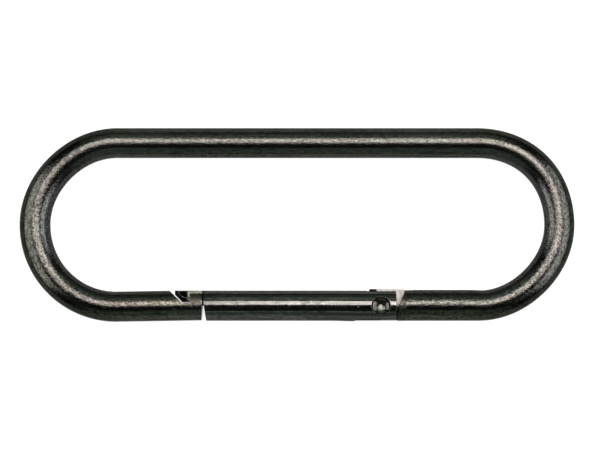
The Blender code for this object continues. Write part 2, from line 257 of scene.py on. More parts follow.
def linkPath():
    # straight side, half circle, straight side, half circle, straight side: each bend is its middle plus
    # the bend's radius times (cos, sin) of the turn, which is also the direction across the bar
    steps = link["bendSteps"]
    left = np.linspace(-np.pi / 2, -3 * np.pi / 2, steps + 1)
    right = np.linspace(np.pi / 2, -np.pi / 2, steps + 1)
    openEnd = np.linspace(link["notchTopX"] - mm, -bendX, link["openSteps"])[:-1]
    straight = np.linspace(-bendX, bendX, link["straightSteps"])[1:-1]
    tail = np.linspace(bendX, link["shoulderTopX"] + 3 * mm, link["tailSteps"])[1:]
    x = np.concatenate([
        [link["noseX"]],
        openEnd,
        -bendX + bendRadius * np.cos(left),
        straight,
        bendX + bendRadius * np.cos(right),
        tail,
        [link["shoulderFoot"][0]],
    ])
    turn = np.concatenate([
        np.full(len(openEnd) + 1, -np.pi / 2),
        left,
        np.full(len(straight), np.pi / 2),
        right,
        np.full(len(tail) + 1, -np.pi / 2),
    ])
    y = bendRadius * np.sin(turn)
    low, high = link["swell"]
    rise, fall = link["swellEnds"]
    swell = np.clip((x - low) / rise, 0, 1) * np.clip((high - x) / fall, 0, 1)
    swell = np.where(y < 0, swell * swell * (3 - 2 * swell), 0.0) * link["swellBy"]
    centre = np.stack([x, y + swell, np.full_like(x, axisZ)], axis=1)
    side = np.stack([np.cos(turn), np.sin(turn), np.zeros_like(turn)], axis=1)
    # the bar is bent by hand: its open end leans in, and the bends are not quite round
    oval = np.sin(2 * turn) ** 2
    atRight, atLeft = x > bendX, x < -bendX
    leaning = (y < 0) & (x >= -bendX) & (x <= link["noseX"])
    rightBend = link["rightOval"] * np.sign(np.sin(2 * turn)) * oval
    leftBend = np.where(y < 0, link["lean"][0] * np.sin(turn) ** 2, link["leftOval"] * oval)
    lean = np.interp(x, (-bendX, link["noseX"]), link["lean"])
    outward = np.select([atRight, atLeft, leaning], [rightBend, leftBend, lean], 0.0)
    swell = swell + np.where(atLeft, link["leftSwell"] * np.cos(turn) ** 2, 0.0)
    return centre + outward[:, None] * side, side, fullRadius + swell


def onGateSide(outline):
    # heights from the bar's axis become places on the gate's side of the link
    outline = np.array(outline, float)
    outline[:, 1] += gateY
    return outline


def makeLink():
    # the round bar along its path, less the shoulder, notch, nose and groove, plus the tang in its slot
    centre, side, radius = linkPath()
    cuts = [math.asin(link[key] / fullRadius) for key in ("notchFloor", "postTop")]
    cuts += [math.acos(half / fullRadius) for half in (link["slotWidth"] / 2, link["tangHalf"])]
    angles = ringAngles(link["sides"], cuts)
    bar = roundTube("link_bar", centre, side, radius, angles)
    far = 3 * barRadius
    top = barRadius
    slope = link["shoulderTopX"] - link["shoulderX"]
    shoulder = [
        (link["shoulderX"] - top, far),
        (link["shoulderX"] - top, -far),
        (link["shoulderFoot"][0], -far),
        link["shoulderFoot"],
        (link["shoulderX"], 0.0),
        (link["shoulderTopX"] + slope * (far - top) / top, far),
    ]
    combine(bar, [slab("shoulder_tool", onGateSide(shoulder), -far, far)])

    hingeHeight = hinge.y - gateY
    radius = link["tangBottom"] + hingeHeight
    across = hinge.x - link["tangEndX"]
    foot = math.pi + math.acos(across / radius)
    rootX = link["shoulderTopX"] + link["rootLength"]
    rootHalf = link["rootHalf"]
    tang = [
        (rootX, rootHalf),
        (link["shoulderTopX"] + link["rootStep"][0], top - link["rootStep"][1]),
        (link["shoulderTopX"], link["tangTopAtRoot"]),
        (link["tangEndX"] + link["tangTip"][0], link["tangTop"]),
        (link["tangEndX"], link["tangTop"] - link["tangTip"][1]),
    ]
    tang += arcPoints((hinge.x, hingeHeight), radius, foot, 1.5 * math.pi, 12).tolist()
    tang += [(link["shoulderX"], -link["tangBottom"])]
    tang += [(link["shoulderX"] + link["rootRun"], -rootHalf), (rootX, -rootHalf)]
    half = link["tangHalf"]
    combine(bar, [slab("tang_tool", onGateSide(tang), axisZ - half, axisZ + half)], "UNION")

    notch = [
        (link["notchTopX"] - (far - top), far),
        (link["notchTopX"] + top - link["notchFloor"], link["notchFloor"]),
        (link["postX"], link["notchFloor"]),
        (link["postX"], link["postTop"]),
        (link["noseX"] + far, link["postTop"]),
        (link["noseX"] + far, far),
    ]
    groove = [
        (link["postX"] - link["grooveStart"], link["notchFloor"]),
        (link["postX"], link["notchFloor"]),
        (link["postX"], link["grooveFloor"]),
        (link["noseX"] + mm, link["grooveFloor"]),
        (link["noseX"] + mm, far),
        (link["postX"] - link["grooveStart"], far),
    ]
    slant = link["noseSlant"] / barRadius
    wedge = [
        (link["noseX"], 0.0),
        (link["noseX"] - slant * far, -far),
        (link["noseX"] + mm, -far),
        (link["noseX"] + mm, 0.0),
    ]
    half = link["slotWidth"] / 2
    holeProfile = [(0, far), (link["hole"], far), (link["hole"], -far), (0, -far)]
    combine(
        bar,
        [
            turnedSurface("hole_tool", holeProfile, hinge, 32),
            slab("notch_tool", onGateSide(notch), -far, far),
            slab("wedge_tool", onGateSide(wedge), -far, far),
            slab("groove_tool", onGateSide(groove), axisZ - half, axisZ + half),
        ],
    )
    softenEdges(bar, link["edge"])
    return bar


gate = {
    "sides": 96,
    "noseX": -25.10 * mm,
    "undercut": 0.58 * mm,
    "tongueHalf": 1.0 * mm,
    "wallGap": 0.22 * mm,
    "floorGap": 0.22 * mm,
    "earX": -29.54 * mm,
    "earCurve": 2.8 * mm,
    "earCentre": (-29.40 * mm, 4.6 * mm),
    "forkHalf": 1.4 * mm,
    "sawRadius": 12.0 * mm,
    "sawCentre": (27.6 * mm, -4.16 * mm),
    "bore": 1.8 * mm,
    "boreEndX": 1.0 * mm,
    "recess": 2.56 * mm,
    "recessTaper": 0.20,
    "recessDepth": 1.2 * mm,
    "hole": 1.56 * mm,
    "edge": 0.07 * mm,
    "swell": (9.0 * mm, 15.0 * mm),  # from here to the hinge the rod is a little thicker
    "swellBy": 0.06 * mm,
    "sag": 0.07 * mm,
}
rivet = {
    "shank": 1.5 * mm,
    "gap": 0.06 * mm,
    "proud": 0.12 * mm,
    "dish": 4.0 * mm,
    "lip": 0.08 * mm,
    "taper": 1.3,
    "crater": 0.05 * mm,
    "craterRadius": 0.45 * mm,
    "setOff": Vector((-0.20 * mm, -0.50 * mm, 0.0)),  # heads and recesses are off the pin's axis
}


def makeGate():
    # a straight round rod whose radius rises smoothly to the hinge, with a tongue and an ear milled at
    # one end, and a slot, a bore and two rivet recesses at the other
    far = 3 * barRadius
    stations = np.array([gateLow.x, *np.linspace(*gate["swell"], 5), gateHigh.x])
    rise = np.clip(np.interp(stations, gate["swell"], (0.0, 1.0)), 0, 1)
    rise = rise * rise * (3 - 2 * rise)
    radius = fullRadius + gate["swellBy"] * rise
    count = len(stations)
    centre = np.stack([stations, gateY - gate["sag"] * rise, np.full(count, axisZ)], axis=1)
    side = np.tile([0.0, -1.0, 0.0], (count, 1))
    floor = link["notchFloor"] + gate["floorGap"]
    cuts = [math.acos(half / fullRadius) for half in (gate["tongueHalf"], gate["forkHalf"])]
    angles = ringAngles(gate["sides"], cuts + [math.asin(floor / fullRadius)])
    rod = roundTube("gate_rod", centre, side, radius, angles)
    tip = gateLow.x
    clearSum = link["notchTopX"] + barRadius + gate["wallGap"] * math.sqrt(2)
    slant = gate["undercut"] / barRadius
    underTongue = [
        (tip, far),
        (tip, clearSum - tip),
        (clearSum - floor, floor),
        (link["postX"] + gate["wallGap"], floor),
        (link["postX"] + gate["wallGap"], 0.0),
        (gate["noseX"], 0.0),
        (gate["noseX"] + slant * far, -far),
        (tip - far, -far),
        (tip - far, far),
    ]
    combine(rod, [slab("tongue_tool", onGateSide(underTongue), -far, far)])

    middle = gate["earCentre"]
    start = math.pi + math.asin((middle[1] - barRadius - 0.5 * mm) / gate["earCurve"])
    foot = 1.5 * math.pi - math.asin((middle[0] - gate["earX"]) / gate["earCurve"])
    ear = arcPoints(middle, gate["earCurve"], foot, start, 12).tolist()
    beside = [(gate["noseX"], far), (gate["earX"], far)] + ear
    beside += [(tip - far, far / 2), (tip - far, -far), (gate["noseX"], -far)]
    half = gate["tongueHalf"]
    tools = [
        slab("cheek_tool_up", onGateSide(beside), axisZ + half, far),
        slab("cheek_tool_down", onGateSide(beside), -far, axisZ - half),
    ]
    combine(rod, tools)

    saw = arcPoints(gate["sawCentre"], gate["sawRadius"], 0.0, 2 * math.pi, 192)[:-1]
    half = gate["forkHalf"]
    boreEnds = np.array([gate["boreEndX"], gateHigh.x + mm])
    boreCentre = np.stack([boreEnds, np.full(2, gateY), np.full(2, axisZ)], axis=1)
    rim = gate["recess"] + mm * gate["recessTaper"]
    foot = gate["recess"] - gate["recessDepth"] * gate["recessTaper"]
    shelf = barRadius - gate["recessDepth"]
    neck = shelf - (foot - gate["hole"]) / 1.3
    upper = [(0, barRadius + mm), (rim, barRadius + mm), (foot, shelf), (gate["hole"], neck)]
    sink = upper + [(r, -z) for r, z in reversed(upper)]
    tools = [
        slab("saw_tool", onGateSide(saw), axisZ - half, axisZ + half),
        roundTube("bore_tool", boreCentre, side[:2], np.full(2, gate["bore"]), ringAngles(32)),
        turnedSurface("sink_tool", sink, hinge, 48),
    ]
    justPast = neck + 0.01 * mm
    offset(tools[-1], rivet["setOff"], justPast)
    combine(rod, tools)
    softenEdges(rod, gate["edge"])
    return rod


plunger = {"headLength": 5.2 * mm, "stem": 1.0 * mm, "chamfer": 0.3 * mm}
coil = {"wire": 0.5 * mm, "turns": 9}


def makeRivet():
    # a shank with a head at each end; each face is a hollow of constant radius with a small crater in it
    shank = rivet["shank"]
    rim = gate["recess"] - gate["recessDepth"] * gate["recessTaper"] - rivet["gap"]
    top = barRadius - gate["recessDepth"] + rivet["proud"]
    edge = rim - rivet["lip"]
    r = np.linspace(0.0, edge, 24)
    hollow = np.sqrt(rivet["dish"] ** 2 - edge ** 2) - np.sqrt(rivet["dish"] ** 2 - r ** 2)
    crater = rivet["crater"] * np.exp(-(r / rivet["craterRadius"]) ** 4)
    face = list(zip(r, top + hollow - crater))
    neck = top - rivet["lip"] - (rim - shank) / rivet["taper"]
    upper = face + [(rim, top - rivet["lip"]), (shank, neck)]
    profile = upper + [(r, -z) for r, z in reversed(upper)]
    pin = turnedSurface("rivet_pin", profile, hinge, 96)
    justPast = neck + 0.01 * mm
    offset(pin, rivet["setOff"], justPast)
    pin.data.shade_smooth()
    pin.data.set_sharp_from_angle(angle=math.radians(40))
    return pin


def makePlunger():
    # a pin along the gate: thick guided head towards the tang, thin stem inside the spring
    head = (plungerHigh.y - plungerLow.y) / 2
    tip, back = plungerHigh.x, plungerLow.x
    shelf = tip - plunger["headLength"]
    stem, chamfer = plunger["stem"], plunger["chamfer"]
    profile = np.array([
        (0.0, tip),
        (head - chamfer, tip),
        (head - chamfer * 0.3, tip - chamfer * 0.3),
        (head, tip - chamfer),
        (head, shelf + chamfer * 0.4),
        (head - chamfer * 0.4, shelf),
        (stem, shelf),
        (stem, back + chamfer),
        (stem - chamfer, back),
        (0.0, back),
    ])
    angles = 2 * np.pi * np.arange(48) / 48
    x = np.broadcast_to(profile[:, None, 1], (len(profile), len(angles)))
    y = gateY + profile[:, None, 0] * np.cos(angles)[None, :]
    z = axisZ + profile[:, None, 0] * np.sin(angles)[None, :]
    pin = meshFromGrid("plunger_pin", np.stack([x, y, z], axis=-1))
    pin.data.shade_smooth()
    pin.data.set_sharp_from_angle(angle=math.radians(30))
    return pin


def makeSpring():
    # a helix of constant radius whose pitch is tight in the first and last turn
    wire, turns = coil["wire"], coil["turns"]
    start, end = springLow.x + wire / 2, springHigh.x - wire / 2
    radius = (springHigh.y - springLow.y) / 2 - wire / 2
    turn = np.linspace(0, turns, turns * 40 + 1)
    closed = np.minimum(turn, 1) + np.maximum(turn - turns + 1, 0)
    tight = wire * 1.15
    loose = (end - start - 2 * tight) / (turns - 2)
    angle = 2 * np.pi * turn
    centre = np.stack([
        start + closed * tight + (turn - closed) * loose,
        gateY + radius * np.cos(angle),
        axisZ + radius * np.sin(angle),
    ], axis=1)
    along = np.gradient(centre, axis=0)
    along /= np.linalg.norm(along, axis=1, keepdims=True)
    out = np.stack([np.zeros_like(angle), np.cos(angle), np.sin(angle)], axis=1)
    up = np.cross(along, out)
    ring = 2 * np.pi * np.arange(14) / 14
    points = ringAlong(centre, out, up, np.full(len(centre), wire / 2), ring)
    spring = meshFromGrid("coil_spring", points)
    spring.data.shade_smooth()
    spring.data.set_sharp_from_angle(angle=math.radians(60))
    return spring


def addBarSpace(obj):
    # each point's place in a straightened bar: how far along it, how far out to the side, how high
    mesh = obj.data
    co = np.empty(len(mesh.vertices) * 3)
    mesh.vertices.foreach_get("co", co)
    x, y, z = co.reshape(-1, 3).T
    turn = np.arctan2(y, np.abs(x) - bendX)
    atBend = np.abs(x) > bendX
    out = np.where(atBend, np.hypot(np.abs(x) - bendX, y) - bendRadius, np.abs(y) - bendRadius)
    quarter = bendX + bendRadius * np.pi / 2
    fromMiddle = np.where(atBend, bendX + bendRadius * (np.pi / 2 - np.abs(turn)), np.abs(x))
    along = np.sign(x) * np.where(y > 0, fromMiddle, 2 * quarter - fromMiddle)
    space = np.stack([along, out, z - axisZ], axis=1)
    attribute = mesh.attributes.new("barSpace", "FLOAT_VECTOR", "POINT")
    attribute.data.foreach_set("vector", space.ravel())


class Nodes:
    # short names for the nodes of one material
    def __init__(self, name):
        self.material = bpy.data.materials.new(name)
        self.material.use_nodes = True
        self.tree = self.material.node_tree
        self.shader = self.tree.nodes["Principled BSDF"]

    def add(self, kind, inputs=(), **settings):
        node = self.tree.nodes.new(kind)
        for key, value in settings.items():
            setattr(node, key, value)
        for key, value in dict(inputs).items():
            self.feed(node.inputs[key], value)
        return node

    def feed(self, socket, value):
        if isinstance(value, bpy.types.NodeSocket):
            self.tree.links.new(value, socket)
        else:
            socket.default_value = value

    def math(self, operation, a, b=0.0, clamp=False):
        node = self.add("ShaderNodeMath", {0: a, 1: b}, operation=operation, use_clamp=clamp)
        return node.outputs[0]

    def ramp(self, value, low, high, toLow=0.0, toHigh=1.0):
        node = self.add("ShaderNodeMapRange", {0: value, 1: low, 2: high, 3: toLow, 4: toHigh})
        return node.outputs[0]

    def between(self, value, low, high, soft):
        rise = self.ramp(value, low - soft / 2, low + soft / 2)
        return self.math("MULTIPLY", rise, self.ramp(value, high + soft / 2, high - soft / 2))

    def noise(self, place, scale, detail=2.0, rough=0.5, stretch=(1, 1, 1)):
        if tuple(stretch) != (1, 1, 1):
            place = self.add("ShaderNodeMapping", {"Vector": place, "Scale": stretch}).outputs[0]
        inputs = {"Vector": place, "Scale": scale, "Detail": detail, "Roughness": rough}
        return self.add("ShaderNodeTexNoise", inputs).outputs["Fac"]

    def mix(self, factor, a, b):
        node = self.add("ShaderNodeMix", {0: factor, 6: a, 7: b}, data_type="RGBA")
        return node.outputs[2]

    def tinted(self, colour, tint):
        inputs = {0: 1.0, 6: colour, 7: tint}
        node = self.add("ShaderNodeMix", inputs, data_type="RGBA", blend_type="MULTIPLY")
        return node.outputs[2]

    def bump(self, height, distance, strength=1.0, normal=None):
        inputs = {"Height": height, "Distance": distance, "Strength": strength}
        if normal is not None:
            inputs["Normal"] = normal
        return self.add("ShaderNodeBump", inputs).outputs[0]


# noise per metre, detail, roughness and stretch along, across and up the bar
texture = {
    "drawn": (1400, 3.0, 0.6, (0.05, 1, 1)),
    "lines": (900, 2.0, 0.5, (0.012, 1, 1)),
    "grain": (2800, 2.0, 0.7),
    "coarse": (1800, 3.0, 0.6, (0.7, 1, 1)),
    "patch": (130, 3.0, 0.6, (0.4, 1, 1)),
    "wave": (330, 2.0, 0.5, (0.45, 1, 1)),
    "pit": (1100, 1.0, 0.4),
    "hue": (600, 2.0, 0.6, (0.5, 1, 1)),
}
blackened = {
    "rubWidth": 0.28 * mm,
    "pit": (0.005, 0.0055, 0.005, 1),
    # painted shade: the darkest colour, put on the shaded ear end, tang flat and tongue sides
    "paintedShadeBlack": (0.0015, 0.0016, 0.0015, 1),
    "edgeTint": (0.5, 0.52, 0.5, 1),
    "filed": (0.034, 0.030, 0.026, 1),
    "warm": (0.070, 0.058, 0.047, 1),
    # painted reflection colour and painted shade round the bends: bluish on the inside, darker on the
    # outside, pinkish over the top of the bar
    "paintedInnerReflection": (0.98, 1.00, 1.06, 1),
    "paintedOuterShade": (0.72, 0.74, 0.70, 1),
    "paintedCrownReflection": (1.05, 1.01, 1.03, 1),
    "pink": (1.06, 0.985, 1.0, 1),
    "olive": (0.98, 1.01, 0.93, 1),
    "dull": (0.017, 0.0165, 0.0145, 1),
    "hues": (0.42, 0.58),
    "worn": 0.4,  # most that a patch is worn
    "sharp": (0.985, 0.93),  # where an edge starts to be rubbed, and is
    "elsewhere": 0.15,  # rubbing outside the place that each finish names
    "patchRough": 0.14,
    "grainRough": 0.4,
    "filedRough": 0.26,
    "dullRough": 0.22,
    "smoothest": 0.06,
    "grainDepth": 0.00002,
    "pitDepth": 0.00003,
}


def blackSteel(name, finish):
    # blackened bar: drawn lines along it, a coarse and a fine grain, shallow waves, a few pits, a warm
    # patch, bare metal on worn edges; painted reflection colour and painted shade round the bends, painted
    # shade on the gate's ear end
    n = Nodes(name)
    place = n.add("ShaderNodeAttribute", attribute_name="barSpace").outputs["Vector"]
    noises = {key: n.noise(place, *numbers) for key, numbers in texture.items()}
    drawn, grain, coarse, patch = (noises[key] for key in ("drawn", "grain", "coarse", "patch"))
    pit = n.ramp(noises["pit"], finish["pits"], finish["pits"] + 0.05)

    share = finish["drawn"]
    mottle = n.math("ADD", n.math("MULTIPLY", grain, 0.4), n.math("MULTIPLY", coarse, 0.6))
    tone = n.math("ADD", n.math("MULTIPLY", mottle, 1 - share), n.math("MULTIPLY", drawn, share))
    tone = n.ramp(tone, *finish["contrast"])
    colour = n.mix(tone, finish["dark"], finish["worn"])
    hue = n.mix(n.ramp(noises["hue"], *blackened["hues"]), blackened["olive"], blackened["pink"])
    colour = n.tinted(colour, hue)
    colour = n.mix(n.ramp(patch, 0.45, 0.75, 0.0, blackened["worn"]), colour, finish["worn"])
    colour = n.mix(n.ramp(noises["lines"], 0.50, 0.66, 0.0, finish["lines"]), colour, finish["dark"])
    along, out, high = n.add("ShaderNodeSeparateXYZ", {0: place}).outputs
    spot = n.add("ShaderNodeTexCoord").outputs["Object"]
    x, y, z = n.add("ShaderNodeSeparateXYZ", {0: spot}).outputs
    if finish["warm"]:
        warm = n.between(x, *finish["warm"], 8 * mm)
        warm = n.math("MULTIPLY", warm, n.ramp(y, 0.0, -4 * mm))
        warm = n.math("MULTIPLY", warm, n.ramp(mottle, 0.46, 0.56))
        warm = n.math("MULTIPLY", warm, n.between(out, -1.6 * mm, 0.4 * mm, 0.6 * mm))
        colour = n.mix(n.math("MULTIPLY", warm, 0.7), colour, blackened["warm"])
        # painted reflection colour and painted shade across the bends, set by how far out across the bar a
        # point lies
        bend = n.ramp(n.math("ABSOLUTE", x), bendX - 4 * mm, bendX + 3 * mm)
        paintedBendLight = [
            (n.ramp(out, -0.8 * mm, -1.8 * mm), "paintedInnerReflection"),
            (n.ramp(out, 0.9 * mm, 1.9 * mm), "paintedOuterShade"),
            (n.between(out, -0.9 * mm, 0.9 * mm, 0.8 * mm), "paintedCrownReflection"),
        ]
        for amount, key in paintedBendLight:
            amount = n.math("MULTIPLY", amount, bend)
            colour = n.mix(amount, colour, n.tinted(colour, blackened[key]))
    colour = n.mix(pit, colour, blackened["pit"])
    sharp = n.add("ShaderNodeBevel", {"Radius": blackened["rubWidth"]}, samples=6).outputs[0]
    true = n.add("ShaderNodeNewGeometry").outputs["Normal"]
    apart = n.add("ShaderNodeVectorMath", {0: sharp, 1: true}, operation="DOT_PRODUCT").outputs["Value"]
    rubbed = n.math("MULTIPLY", n.ramp(apart, *blackened["sharp"]), n.ramp(grain, 0.35, 0.55))
    elsewhere = blackened["elsewhere"]
    if finish["rub"]:
        where = n.between(x, *finish["rub"], 0.4 * mm)
        where = n.math("MULTIPLY", where, n.ramp(y, gateY + 0.2 * mm, gateY + 0.6 * mm))
        where = n.ramp(where, 0.0, 1.0, elsewhere, 1.0)
        rubbed = n.math("MULTIPLY", rubbed, where)
    else:
        rubbed = n.math("MULTIPLY", rubbed, elsewhere)
    colour = n.mix(rubbed, colour, finish["bare"])

    spread = finish["rough"]
    for pattern, amount in ((patch, "patchRough"), (grain, "grainRough")):
        change = n.math("MULTIPLY", n.math("SUBTRACT", pattern, 0.5), blackened[amount])
        spread = n.math("ADD", spread, change)
    if finish["filed"]:
        filed = n.between(x, *finish["filed"], 0.35 * mm)
        filed = n.math("MULTIPLY", filed, n.ramp(y, gateY - 0.5 * mm, gateY + 0.6 * mm))
        filed = n.math("MULTIPLY", filed, n.ramp(y, 0.0, -mm))
        spread = n.math("ADD", spread, n.math("MULTIPLY", filed, blackened["filedRough"]))
        colour = n.mix(n.math("MULTIPLY", filed, 0.7), colour, blackened["filed"])
    if finish["dull"]:
        dull = n.between(x, *finish["dull"], 0.5 * mm)
        dull = n.math("MULTIPLY", dull, n.ramp(y, 0.0, -mm))
        spread = n.math("ADD", spread, n.math("MULTIPLY", dull, blackened["dullRough"]))
        dull = n.math("MULTIPLY", dull, n.ramp(mottle, 0.56, 0.48, 0.35, 0.95))
        colour = n.mix(dull, colour, blackened["dull"])
    # painted shade: the ear end of the gate is coloured darkest, except its rubbed edges
    if finish["paintedEarShadeTo"]:
        ear = n.ramp(x, finish["paintedEarShadeTo"], finish["paintedEarShadeTo"] - 0.2 * mm)
        ear = n.math("MULTIPLY", ear, n.math("SUBTRACT", 1.0, rubbed))
        colour = n.mix(ear, colour, blackened["paintedShadeBlack"])
    n.feed(n.shader.inputs["Base Color"], colour)
    n.feed(n.shader.inputs["Roughness"], n.math("MAXIMUM", spread, blackened["smoothest"]))
    normal = n.bump(noises["wave"], finish["waves"])
    normal = n.bump(drawn, finish["drawnDepth"], 1.0, normal)
    normal = n.bump(coarse, finish["coarseDepth"], 1.0, normal)
    normal = n.bump(grain, blackened["grainDepth"] * finish["grain"], 1.0, normal)
    normal = n.bump(n.math("SUBTRACT", 1.0, pit), blackened["pitDepth"], 0.8, normal)
    n.feed(n.shader.inputs["Normal"], normal)
    n.shader.inputs["Metallic"].default_value = 1.0
    n.shader.inputs["Specular Tint"].default_value = blackened["edgeTint"]
    return n.material


linkFinish = {
    "dark": (0.0115, 0.0120, 0.0110, 1),
    "worn": (0.0535, 0.0530, 0.0505, 1),
    "contrast": (0.43, 0.585),
    "bare": (0.11, 0.108, 0.10, 1),
    "rough": 0.135,
    "grain": 2.0,
    "coarseDepth": 0.00004,
    "drawn": 0.1,
    "drawnDepth": 0.000004,
    "lines": 0.25,
    "waves": 0.00002,
    "pits": 0.72,
    "warm": (-50.0 * mm, -31.0 * mm),
    "rub": (-35.0 * mm, -27.6 * mm),
    "filed": (-28.75 * mm, -25.9 * mm),
    "dull": (27.0 * mm, 29.3 * mm),
    "paintedEarShadeTo": None,
}
gateFinish = {
    "dark": (0.024, 0.0245, 0.024, 1),
    "worn": (0.066, 0.0645, 0.064, 1),
    "contrast": (0.38, 0.62),
    "bare": (0.28, 0.28, 0.27, 1),
    "rough": 0.105,
    "grain": 0.35,
    "coarseDepth": 0.00001,
    "drawn": 0.75,
    "drawnDepth": 0.000007,
    "lines": 0.8,
    "waves": 0.00002,
    "pits": 0.74,
    "warm": None,
    "rub": (-34.0 * mm, -25.3 * mm),
    "filed": None,
    "dull": None,
    # painted shade on the ear end, up to this x
    "paintedEarShadeTo": -29.45 * mm,
}
rivetFinish = {
    "dark": (0.016, 0.017, 0.016, 1),
    "worn": (0.052, 0.052, 0.048, 1),
    "contrast": (0.38, 0.62),
    "bare": (0.11, 0.108, 0.10, 1),
    "rough": 0.20,
    "grain": 0.8,
    "coarseDepth": 0.00002,
    "drawn": 0.0,
    "drawnDepth": 0.0,
    "lines": 0.0,
    "waves": 0.00004,
    "pits": 0.72,
    "warm": None,
    "rub": None,
    "filed": None,
    "dull": None,
    "paintedEarShadeTo": None,
}


springFinish = {"bright": (0.40, 0.39, 0.37, 1), "dullShare": 0.55, "rough": 0.30}


def bareSteel(name, finish):
    # turned or drawn steel with fine lines
    n = Nodes(name)
    place = n.add("ShaderNodeTexCoord").outputs["Object"]
    lines = n.noise(place, 1500, 3.0, 0.6)
    speck = n.noise(place, 2500, 2.0, 0.7)
    bright, rough = finish["bright"], finish["rough"]
    dull = tuple(c * finish["dullShare"] for c in bright[:3]) + (1,)
    n.feed(n.shader.inputs["Base Color"], n.mix(n.ramp(lines, 0.3, 0.7), dull, bright))
    n.feed(n.shader.inputs["Roughness"], n.ramp(speck, 0.2, 0.8, rough * 0.75, rough * 1.3))
    n.feed(n.shader.inputs["Normal"], n.bump(lines, 0.000004))
    n.shader.inputs["Metallic"].default_value = 1.0
    return n.material


tangFinish = {
    "dull": (0.052, 0.048, 0.045, 1),
    "bright": (0.125, 0.117, 0.112, 1),
    "brightFrom": (21.2 * mm, 21.6 * mm),
    # painted shade at the foot gives way to the bright flat over these heights
    "paintedFootShade": (-0.4 * mm, 0.8 * mm),
}
neckFinish = {
    "dull": (0.013, 0.0135, 0.0115, 1),
    "bright": (0.090, 0.091, 0.080, 1),
    "stem": (1.2 * mm, 1.5 * mm),
    "bridge": (2.7 * mm, 3.0 * mm),
}


def tangFlatSteel():
    # the milled flat: bright where the gate's end sweeps it, with painted shade, coloured darkest, towards
    # its tip, along its top edge and over its foot
    n = Nodes("tang_flat")
    place = n.add("ShaderNodeTexCoord").outputs["Object"]
    x, y, z = n.add("ShaderNodeSeparateXYZ", {0: place}).outputs
    lines = n.noise(place, 1800, 3.0, 0.6, stretch=(1, 0.15, 1))
    speck = n.noise(place, 2500, 2.0, 0.7)
    ragged = n.math("MULTIPLY", n.math("SUBTRACT", speck, 0.5), 0.7 * mm)
    # painted shade: towards its tip the flat is coloured darkest
    bright = n.ramp(n.math("ADD", x, ragged), *tangFinish["brightFrom"])
    # painted shade: a thin dark band along the top edge
    top = gateY + link["tangTop"]
    bright = n.math("MULTIPLY", bright, n.ramp(y, top - 0.05 * mm, top - 0.10 * mm))
    # painted shade: the lower part towards the foot is coloured darkest
    low, high = tangFinish["paintedFootShade"]
    bright = n.math("MULTIPLY", bright, n.ramp(n.math("ADD", y, ragged), gateY + low, gateY + high))
    streak = n.math("ADD", n.math("MULTIPLY", lines, 0.5), n.math("MULTIPLY", speck, 0.5))
    colour = n.mix(n.ramp(streak, 0.38, 0.58), tangFinish["dull"], tangFinish["bright"])
    n.feed(n.shader.inputs["Base Color"], n.mix(bright, blackened["paintedShadeBlack"], colour))
    n.feed(n.shader.inputs["Roughness"], n.ramp(speck, 0.2, 0.8, 0.22, 0.40))
    n.feed(n.shader.inputs["Normal"], n.bump(lines, 0.00001))
    n.shader.inputs["Metallic"].default_value = 1.0
    return n.material


def neckFlatSteel():
    # the tongue's sides: flaky grey on the stem and on the bridge over the post, with painted shade,
    # coloured darkest, beside the ear and in the slot
    n = Nodes("neck_flat")
    place = n.add("ShaderNodeTexCoord").outputs["Object"]
    x, y, z = n.add("ShaderNodeSeparateXYZ", {0: place}).outputs
    flake = n.noise(place, 1700, 4.0, 0.75)
    # bright only on the stem and the bridge; the rest of each side is painted shade
    stem = n.between(x, gate["earX"] - 0.1 * mm, link["postX"] + 0.1 * mm, 0.15 * mm)
    low, high = neckFinish["stem"]
    stem = n.math("MULTIPLY", stem, n.ramp(y, gateY + low, gateY + high))
    low, high = neckFinish["bridge"]
    bridge = n.ramp(x, gate["earX"] - 0.15 * mm, gate["earX"])
    bridge = n.math("MULTIPLY", bridge, n.ramp(y, gateY + low, gateY + high))
    bright = n.math("MAXIMUM", stem, bridge)
    # painted shade: past the link's nose, in the slot, the side is coloured darkest
    bright = n.math("MULTIPLY", bright, n.ramp(x, link["noseX"], link["noseX"] - 0.15 * mm))
    colour = n.mix(n.ramp(flake, 0.36, 0.62), neckFinish["dull"], neckFinish["bright"])
    n.feed(n.shader.inputs["Base Color"], n.mix(bright, blackened["paintedShadeBlack"], colour))
    n.feed(n.shader.inputs["Roughness"], n.ramp(flake, 0.3, 0.7, 0.55, 0.3))
    n.feed(n.shader.inputs["Normal"], n.bump(flake, 0.00006))
    n.shader.inputs["Metallic"].default_value = 1.0
    return n.material


def facesWhere(obj, test):
    # indices of the faces whose middle and direction pass the test
    mesh = obj.data
    count = len(mesh.polygons)
    middle, normal = np.empty(count * 3), np.empty(count * 3)
    mesh.polygons.foreach_get("center", middle)
    mesh.polygons.foreach_get("normal", normal)
    return np.nonzero(test(middle.reshape(-1, 3), normal.reshape(-1, 3)))[0]


def wear(obj, materials, tests):
    # the first material covers the piece, each later one covers the faces that pass its test
    obj.data.materials.clear()
    for material in materials:
        obj.data.materials.append(material)
    slots = np.zeros(len(obj.data.polygons), np.int32)
    for number, test in enumerate(tests, start=1):
        slots[facesWhere(obj, test)] = number
    obj.data.polygons.foreach_set("material_index", slots)


nearly = 0.01 * mm
level = 0.95  # how straight up or down a flat face looks


def onTangFlat(middle, normal):
    x, height = middle[:, 0], np.abs(middle[:, 2] - axisZ)
    inside = (height < link["tangHalf"] + nearly) & (x > link["tangEndX"])
    return inside & (x < link["shoulderTopX"] + mm) & (np.abs(normal[:, 2]) > level)


def onNeckFlat(middle, normal):
    x, height = middle[:, 0], np.abs(middle[:, 2] - axisZ)
    beside = np.abs(height - gate["tongueHalf"]) < nearly
    inside = beside & (x < gate["noseX"] + 0.1 * mm) & (middle[:, 1] > gateY)
    return inside & (np.abs(normal[:, 2]) > level)


def joinFrame(piece, body, node):
    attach(piece, body)
    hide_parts(node)
    print(piece.name, len(piece.data.polygons), "faces", [round(d / mm, 2) for d in piece.dimensions])


